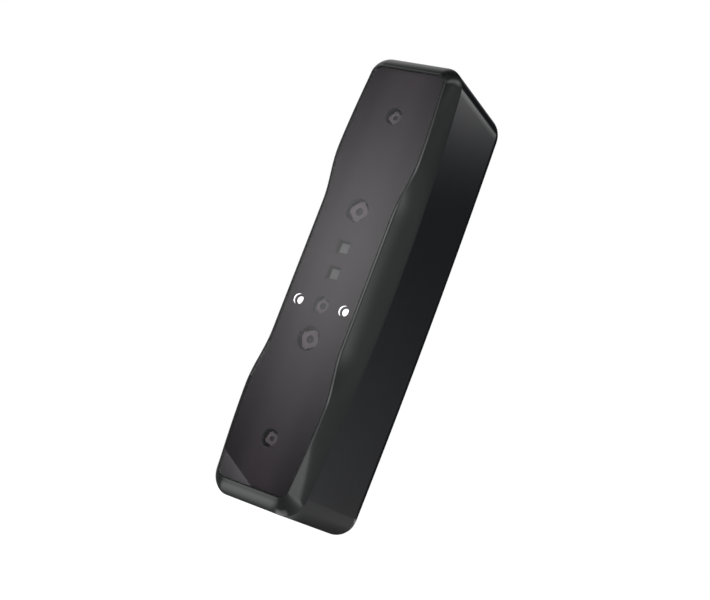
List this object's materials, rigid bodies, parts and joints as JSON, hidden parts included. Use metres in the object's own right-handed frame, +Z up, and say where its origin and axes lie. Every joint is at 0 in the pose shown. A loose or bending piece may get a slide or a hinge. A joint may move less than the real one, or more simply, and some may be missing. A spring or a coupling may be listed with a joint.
{
  "type": "handheld 3d scanner",
  "caption": "Upright handheld 3-D scanner with a tinted dog-bone window over its cameras, projectors and lights, push buttons on the back, and a tripod thread and data port underneath.",
  "frame": {"origin": "centre of the underside", "axes": "+Z up along the body's long axis, -Y out of the window, +Y towards the back with the buttons, X across the width"},
  "size_m": [0.039, 0.0629, 0.177],
  "materials": {
    "bezel_plastic": "satin",
    "tinted_glass": "gloss",
    "black_film": "matte",
    "seal_rubber": "matte",
    "housing_plastic": "satin",
    "panel_plastic": "gloss",
    "button_plastic": "satin",
    "plunger_plastic": "matte",
    "switch_metal": "satin",
    "circuit_board": "gloss",
    "screw_steel": "satin",
    "light_guide": "frosted",
    "led_body": "gloss",
    "insert_brass": "satin",
    "port_steel": "satin",
    "tongue_plastic": "matte",
    "chassis_aluminium": "satin",
    "sink_aluminium": "satin",
    "chip_plastic": "matte",
    "thermal_rubber": "matte",
    "barrel_metal": "satin",
    "lens_glass": "gloss",
    "holder_plastic": "matte",
    "projector_metal": "satin",
    "projector_glass": "gloss",
    "white_light": "glowing white",
    "flex_film": "gloss"
  },
  "bodies": {
    "scanner_body": {"front_bezel": "bezel_plastic", "front_window": "tinted_glass", "window_mask": "black_film", "seam_gasket": "seal_rubber", "rear_housing": "housing_plastic", "control_panel": "panel_plastic", "scan_switch": "switch_metal", "plus_switch": "switch_metal", "minus_switch": "switch_metal", "button_board": "circuit_board", "button_board_screws": "screw_steel", "indicator_light_guide": "light_guide", "indicator_leds": "led_body", "tripod_insert": "insert_brass", "usb_receptacle": "port_steel", "usb_tongue": "tongue_plastic", "camera_chassis": "chassis_aluminium", "main_board": "circuit_board", "processor": "chip_plastic", "board_chips": "chip_plastic", "thermal_pad": "thermal_rubber", "heat_sink": "sink_aluminium", "cover_screws": "screw_steel", "chassis_screws": "screw_steel", "board_screws": "screw_steel", "far_upper_barrel": "barrel_metal", "far_upper_lens": "lens_glass", "far_upper_holder": "holder_plastic", "far_upper_board": "circuit_board", "near_upper_barrel": "barrel_metal", "near_upper_lens": "lens_glass", "near_upper_holder": "holder_plastic", "near_upper_board": "circuit_board", "near_lower_barrel": "barrel_metal", "near_lower_lens": "lens_glass", "near_lower_holder": "holder_plastic", "near_lower_board": "circuit_board", "far_lower_barrel": "barrel_metal", "far_lower_lens": "lens_glass", "far_lower_holder": "holder_plastic", "far_lower_board": "circuit_board", "color_barrel": "barrel_metal", "color_lens": "lens_glass", "color_holder": "holder_plastic", "color_board": "circuit_board", "upper_projector": "projector_metal", "upper_projector_window": "projector_glass", "lower_projector": "projector_metal", "lower_projector_window": "projector_glass", "light_board": "circuit_board", "left_light": "white_light", "right_light": "white_light", "camera_flex_cables": "flex_film", "button_flex_cable": "flex_film"},
    "scan_button_body": {"scan_button": "button_plastic", "scan_plunger": "plunger_plastic"},
    "plus_button_body": {"plus_button": "button_plastic", "plus_plunger": "plunger_plastic"},
    "minus_button_body": {"minus_button": "button_plastic", "minus_plunger": "plunger_plastic"}
  },
  "joints": [
    {"name": "scan_press", "type": "slide", "parent": "scanner_body", "child": "scan_button_body", "axis": [0, -1, 0], "range_m": [0, 0.0006], "stiffness_N_per_m": 1500, "springref_m": -0.0005},
    {"name": "plus_press", "type": "slide", "parent": "scanner_body", "child": "plus_button_body", "axis": [0, -1, 0], "range_m": [0, 0.0006], "stiffness_N_per_m": 1500, "springref_m": -0.0005},
    {"name": "minus_press", "type": "slide", "parent": "scanner_body", "child": "minus_button_body", "axis": [0, -1, 0], "range_m": [0, 0.0006], "stiffness_N_per_m": 1500, "springref_m": -0.0005}
  ]
}
